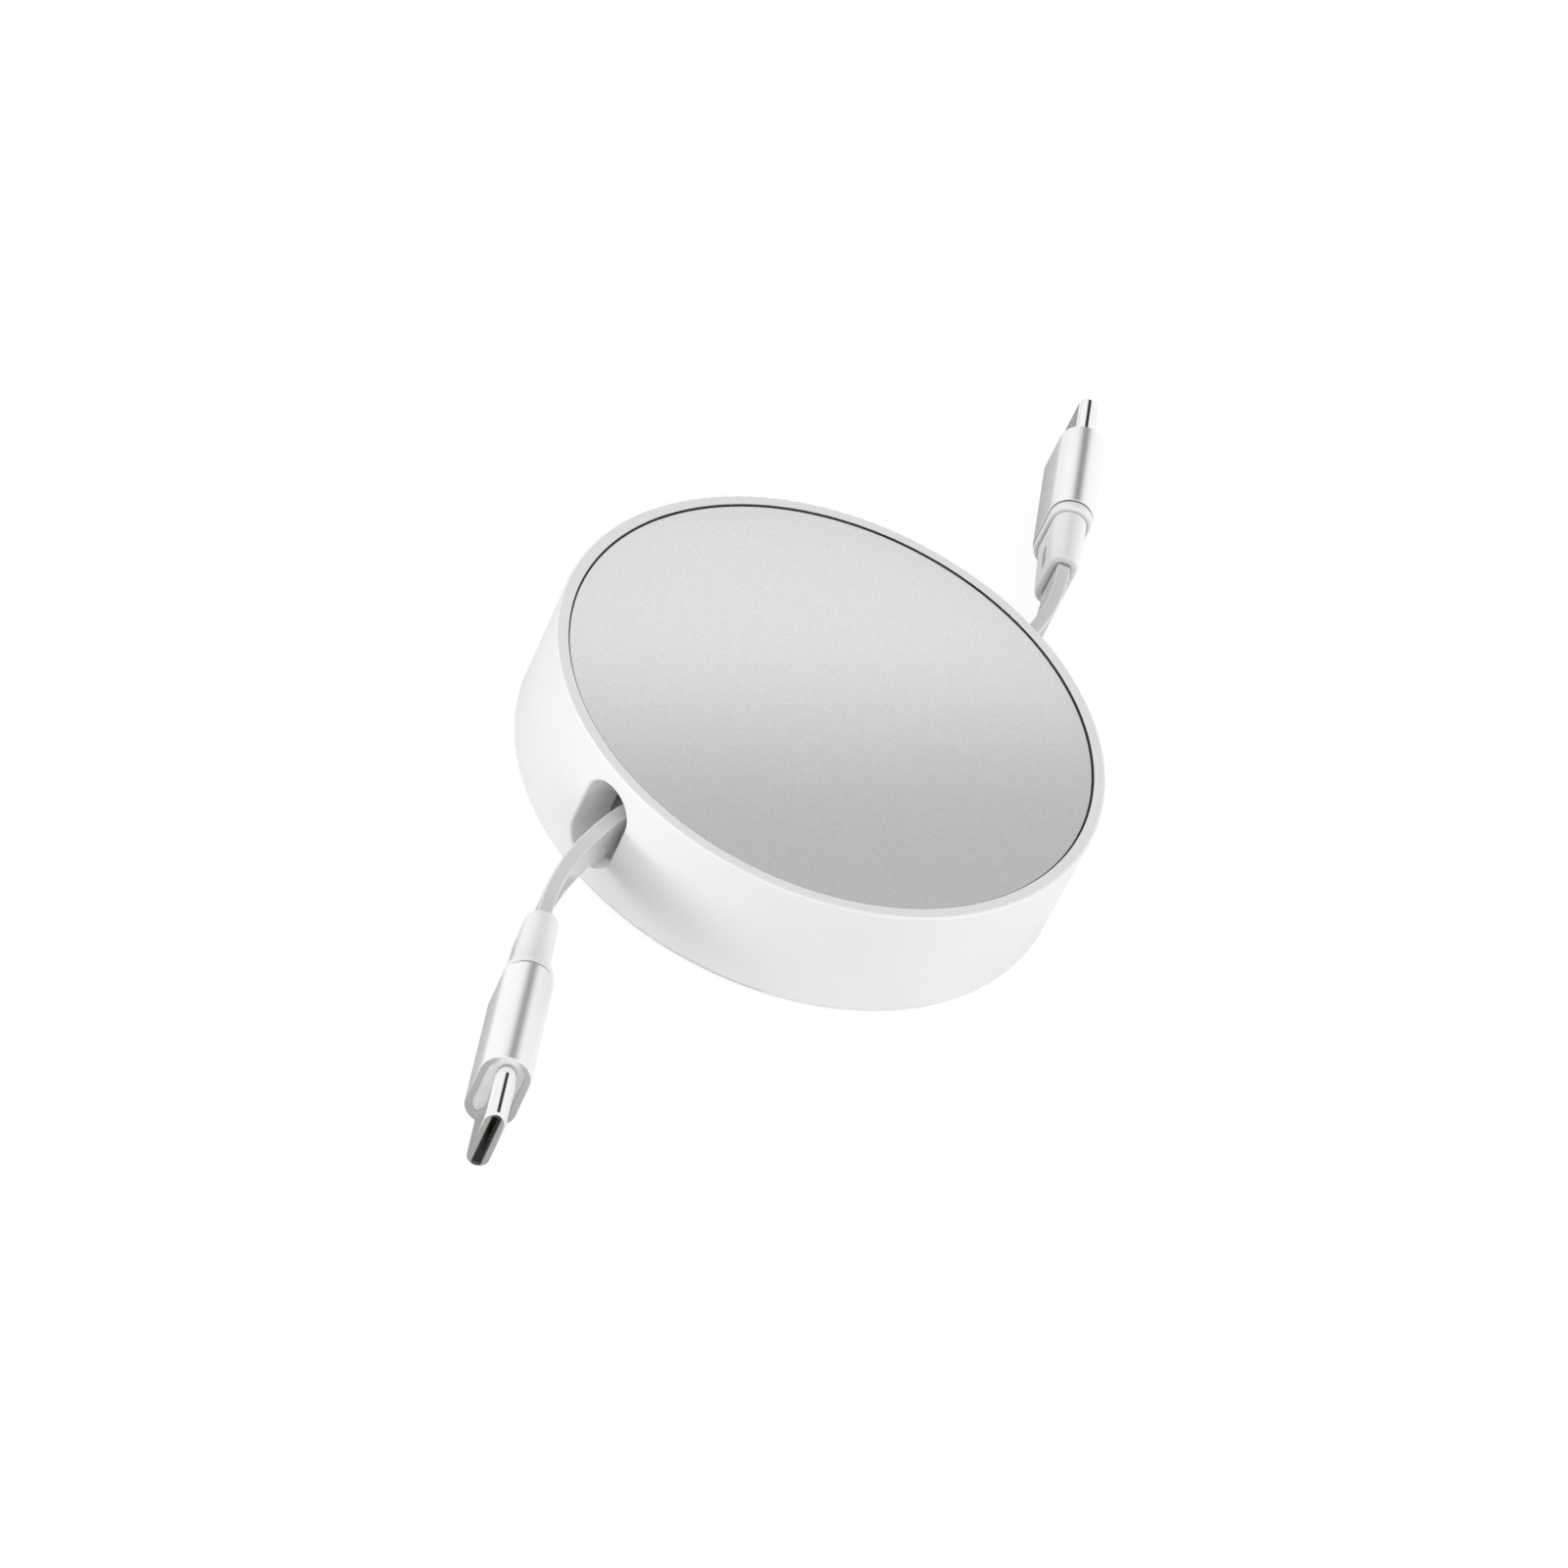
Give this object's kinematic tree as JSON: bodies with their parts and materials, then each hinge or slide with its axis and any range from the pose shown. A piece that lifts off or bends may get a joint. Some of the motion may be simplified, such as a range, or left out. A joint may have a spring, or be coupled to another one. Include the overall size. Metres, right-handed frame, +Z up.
{
  "type": "retractable charging cable",
  "caption": "Round flat case with a metal trim disc and a sprung reel inside; a flat cable leaves it through opposite slots, each end with a small reversible charging plug.",
  "frame": {"origin": "centre of the case's flat base, where it rests", "axes": "+Z up along the reel's axis, out of the trim disc; +X out of the slot of plug b, -X out of the slot of plug a"},
  "size_m": [0.1468, 0.065, 0.0155],
  "materials": {
    "case_plastic": "fine matte moulded, white",
    "inner_plastic": "plain moulded, light grey",
    "disc_aluminium": "bead-blasted, anodised silver",
    "gasket_rubber": "dull black",
    "adhesive_film": "dull white film",
    "plated_steel": "bright plated",
    "spring_steel": "blued rolled strip",
    "cable_jacket": "satin elastomer, white",
    "relief_plastic": "satin moulded, white",
    "sleeve_aluminium": "polished, anodised silver",
    "core_plastic": "plain moulded, white",
    "shell_nickel": "bright nickel plate",
    "insulator_plastic": "dull charcoal",
    "contact_gold": "gold flash",
    "board_laminate": "solder mask"
  },
  "bodies": {
    "case": {"case_body": "case_plastic", "top_cover": "inner_plastic", "trim_disc": "disc_aluminium", "disc_gasket": "gasket_rubber", "disc_adhesive": "adhesive_film", "centre_screw": "plated_steel", "cable_run_a": "cable_jacket", "cable_run_b": "cable_jacket"},
    "reel": {"reel_drum": "inner_plastic", "reel_flange": "inner_plastic", "mainspring": "spring_steel", "wound_cable": "cable_jacket"},
    "latch": {"latch_ball": "plated_steel"},
    "plug_a": {"strain_relief_a": "relief_plastic", "plug_sleeve_a": "sleeve_aluminium", "plug_core_a": "core_plastic", "plug_shell_a": "shell_nickel", "plug_insulator_a": "insulator_plastic", "plug_contacts_a": "contact_gold", "plug_board_a": "board_laminate"},
    "plug_b": {"strain_relief_b": "relief_plastic", "plug_sleeve_b": "sleeve_aluminium", "plug_core_b": "core_plastic", "plug_shell_b": "shell_nickel", "plug_insulator_b": "insulator_plastic", "plug_contacts_b": "contact_gold", "plug_board_b": "board_laminate"}
  },
  "joints": [
    {"name": "reel_spin", "type": "hinge", "parent": "case", "child": "reel", "pos_m": [0, 0, 0.00775], "axis": [0, 0, -1], "range_deg": [0, 1080], "stiffness_Nm_per_rad": 0.0005, "springref_deg": -1432.39, "deforming": ["mainspring", "wound_cable"]},
    {"name": "plug_a_pull", "type": "slide", "parent": "case", "child": "plug_a", "axis": [-0.7462, -0.6658, 0], "range_m": [0, 0.37], "deforming": ["cable_run_a"]},
    {"name": "plug_b_pull", "type": "slide", "parent": "case", "child": "plug_b", "axis": [0.7462, 0.6658, 0], "range_m": [0, 0.37], "deforming": ["cable_run_b"]},
    {"name": "latch_shift", "type": "slide", "parent": "case", "child": "latch", "axis": [0, 1, 0], "range_m": [0, 0.004]}
  ],
  "couplings": [
    {"joint": "plug_a_pull", "follows": "reel_spin", "m_per_rad": 0.0196},
    {"joint": "plug_b_pull", "follows": "reel_spin", "m_per_rad": 0.0196}
  ]
}
